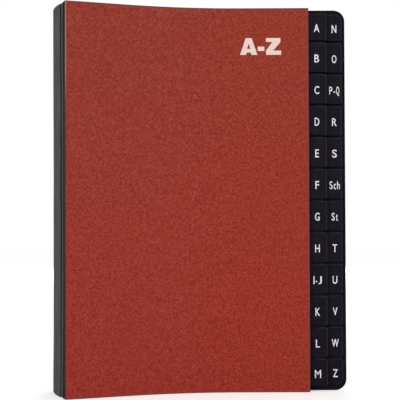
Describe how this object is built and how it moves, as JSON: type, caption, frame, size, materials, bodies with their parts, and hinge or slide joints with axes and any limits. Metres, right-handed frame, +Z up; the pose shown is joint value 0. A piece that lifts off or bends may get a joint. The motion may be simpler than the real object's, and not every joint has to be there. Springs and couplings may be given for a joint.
{
  "type": "desk sorter",
  "caption": "Alphabetical desk sorter with red grained board covers, a pleated linen spine and black card dividers whose stepped index tabs show beside the front cover.",
  "frame": {"origin": "centre of the bounding box's underside, on the surface that the sorter stands on", "axes": "+Z up along the spine, +X from the spine to the tabs, +Y from the front cover to the back cover"},
  "size_m": [0.2611, 0.054, 0.34],
  "materials": {
    "cover_paper": "red paper with an embossed leather grain, slight sheen",
    "cover_board": "bare cut edge of grey board",
    "cover_lining": "smooth black lining paper",
    "divider_card": "black card, tabs covered with clear film",
    "spine_linen": "charcoal bookbinding linen, matt weave"
  },
  "bodies": {
    "back_cover": {"back_cover_paper": "cover_paper", "back_cover_board": "cover_board", "back_cover_lining": "cover_lining", "back_hinge_strip": "spine_linen"},
    "leaf_a": {"divider_a": "divider_card", "pleat_a": "spine_linen"},
    "leaf_b": {"divider_b": "divider_card", "pleat_b": "spine_linen"},
    "leaf_c": {"divider_c": "divider_card", "pleat_c": "spine_linen"},
    "leaf_d": {"divider_d": "divider_card", "pleat_d": "spine_linen"},
    "leaf_e": {"divider_e": "divider_card", "pleat_e": "spine_linen"},
    "leaf_f": {"divider_f": "divider_card", "pleat_f": "spine_linen"},
    "leaf_g": {"divider_g": "divider_card", "pleat_g": "spine_linen"},
    "leaf_h": {"divider_h": "divider_card", "pleat_h": "spine_linen"},
    "leaf_i_j": {"divider_i_j": "divider_card", "pleat_i_j": "spine_linen"},
    "leaf_k": {"divider_k": "divider_card", "pleat_k": "spine_linen"},
    "leaf_l": {"divider_l": "divider_card", "pleat_l": "spine_linen"},
    "leaf_m": {"divider_m": "divider_card", "pleat_m": "spine_linen"},
    "leaf_n": {"divider_n": "divider_card", "pleat_n": "spine_linen"},
    "leaf_o": {"divider_o": "divider_card", "pleat_o": "spine_linen"},
    "leaf_p_q": {"divider_p_q": "divider_card", "pleat_p_q": "spine_linen"},
    "leaf_r": {"divider_r": "divider_card", "pleat_r": "spine_linen"},
    "leaf_s": {"divider_s": "divider_card", "pleat_s": "spine_linen"},
    "leaf_sch": {"divider_sch": "divider_card", "pleat_sch": "spine_linen"},
    "leaf_st": {"divider_st": "divider_card", "pleat_st": "spine_linen"},
    "leaf_t": {"divider_t": "divider_card", "pleat_t": "spine_linen"},
    "leaf_u": {"divider_u": "divider_card", "pleat_u": "spine_linen"},
    "leaf_v": {"divider_v": "divider_card", "pleat_v": "spine_linen"},
    "leaf_w": {"divider_w": "divider_card", "pleat_w": "spine_linen"},
    "leaf_z": {"divider_z": "divider_card", "pleat_z": "spine_linen"},
    "front_cover": {"front_cover_paper": "cover_paper", "front_cover_board": "cover_board", "front_cover_lining": "cover_lining", "front_hinge_strip": "spine_linen"}
  },
  "joints": [
    {"name": "leaf_z_turn", "type": "hinge", "parent": "back_cover", "child": "leaf_z", "pos_m": [-0.1305, 0.0239, 0.17], "axis": [0, 0, -1], "range_deg": [0, 7.5]},
    {"name": "leaf_w_turn", "type": "hinge", "parent": "leaf_z", "child": "leaf_w", "pos_m": [-0.13043, 0.02222, 0.17], "axis": [0, 0, -1], "range_deg": [0, 7.5]},
    {"name": "leaf_v_turn", "type": "hinge", "parent": "leaf_w", "child": "leaf_v", "pos_m": [-0.13028, 0.02055, 0.17], "axis": [0, 0, -1], "range_deg": [0, 7.5]},
    {"name": "leaf_u_turn", "type": "hinge", "parent": "leaf_v", "child": "leaf_u", "pos_m": [-0.13008, 0.01887, 0.17], "axis": [0, 0, -1], "range_deg": [0, 7.5]},
    {"name": "leaf_t_turn", "type": "hinge", "parent": "leaf_u", "child": "leaf_t", "pos_m": [-0.12984, 0.01719, 0.17], "axis": [0, 0, -1], "range_deg": [0, 7.5]},
    {"name": "leaf_st_turn", "type": "hinge", "parent": "leaf_t", "child": "leaf_st", "pos_m": [-0.12956, 0.01551, 0.17], "axis": [0, 0, -1], "range_deg": [0, 7.5]},
    {"name": "leaf_sch_turn", "type": "hinge", "parent": "leaf_st", "child": "leaf_sch", "pos_m": [-0.12923, 0.01384, 0.17], "axis": [0, 0, -1], "range_deg": [0, 7.5]},
    {"name": "leaf_s_turn", "type": "hinge", "parent": "leaf_sch", "child": "leaf_s", "pos_m": [-0.12888, 0.01216, 0.17], "axis": [0, 0, -1], "range_deg": [0, 7.5]},
    {"name": "leaf_r_turn", "type": "hinge", "parent": "leaf_s", "child": "leaf_r", "pos_m": [-0.12849, 0.01048, 0.17], "axis": [0, 0, -1], "range_deg": [0, 7.5]},
    {"name": "leaf_p_q_turn", "type": "hinge", "parent": "leaf_r", "child": "leaf_p_q", "pos_m": [-0.12808, 0.00881, 0.17], "axis": [0, 0, -1], "range_deg": [0, 7.5]},
    {"name": "leaf_o_turn", "type": "hinge", "parent": "leaf_p_q", "child": "leaf_o", "pos_m": [-0.12763, 0.00713, 0.17], "axis": [0, 0, -1], "range_deg": [0, 7.5]},
    {"name": "leaf_n_turn", "type": "hinge", "parent": "leaf_o", "child": "leaf_n", "pos_m": [-0.12716, 0.00545, 0.17], "axis": [0, 0, -1], "range_deg": [0, 7.5]},
    {"name": "leaf_m_turn", "type": "hinge", "parent": "leaf_n", "child": "leaf_m", "pos_m": [-0.12666, 0.00377, 0.17], "axis": [0, 0, -1], "range_deg": [0, 7.5]},
    {"name": "leaf_l_turn", "type": "hinge", "parent": "leaf_m", "child": "leaf_l", "pos_m": [-0.12614, 0.0021, 0.17], "axis": [0, 0, -1], "range_deg": [0, 7.5]},
    {"name": "leaf_k_turn", "type": "hinge", "parent": "leaf_l", "child": "leaf_k", "pos_m": [-0.12559, 0.00042, 0.17], "axis": [0, 0, -1], "range_deg": [0, 7.5]},
    {"name": "leaf_i_j_turn", "type": "hinge", "parent": "leaf_k", "child": "leaf_i_j", "pos_m": [-0.12502, -0.00126, 0.17], "axis": [0, 0, -1], "range_deg": [0, 7.5]},
    {"name": "leaf_h_turn", "type": "hinge", "parent": "leaf_i_j", "child": "leaf_h", "pos_m": [-0.12442, -0.00294, 0.17], "axis": [0, 0, -1], "range_deg": [0, 7.5]},
    {"name": "leaf_g_turn", "type": "hinge", "parent": "leaf_h", "child": "leaf_g", "pos_m": [-0.1238, -0.00461, 0.17], "axis": [0, 0, -1], "range_deg": [0, 7.5]},
    {"name": "leaf_f_turn", "type": "hinge", "parent": "leaf_g", "child": "leaf_f", "pos_m": [-0.12316, -0.00629, 0.17], "axis": [0, 0, -1], "range_deg": [0, 7.5]},
    {"name": "leaf_e_turn", "type": "hinge", "parent": "leaf_f", "child": "leaf_e", "pos_m": [-0.1225, -0.00797, 0.17], "axis": [0, 0, -1], "range_deg": [0, 7.5]},
    {"name": "leaf_d_turn", "type": "hinge", "parent": "leaf_e", "child": "leaf_d", "pos_m": [-0.12181, -0.00965, 0.17], "axis": [0, 0, -1], "range_deg": [0, 7.5]},
    {"name": "leaf_c_turn", "type": "hinge", "parent": "leaf_d", "child": "leaf_c", "pos_m": [-0.12111, -0.01132, 0.17], "axis": [0, 0, -1], "range_deg": [0, 7.5]},
    {"name": "leaf_b_turn", "type": "hinge", "parent": "leaf_c", "child": "leaf_b", "pos_m": [-0.12038, -0.013, 0.17], "axis": [0, 0, -1], "range_deg": [0, 7.5]},
    {"name": "leaf_a_turn", "type": "hinge", "parent": "leaf_b", "child": "leaf_a", "pos_m": [-0.11857, -0.017, 0.17], "axis": [0, 0, -1], "range_deg": [0, 7.5]},
    {"name": "front_cover_turn", "type": "hinge", "parent": "leaf_a", "child": "front_cover", "pos_m": [-0.11485, -0.02532, 0.17], "axis": [0, 0, -1], "range_deg": [0, 170]}
  ]
}
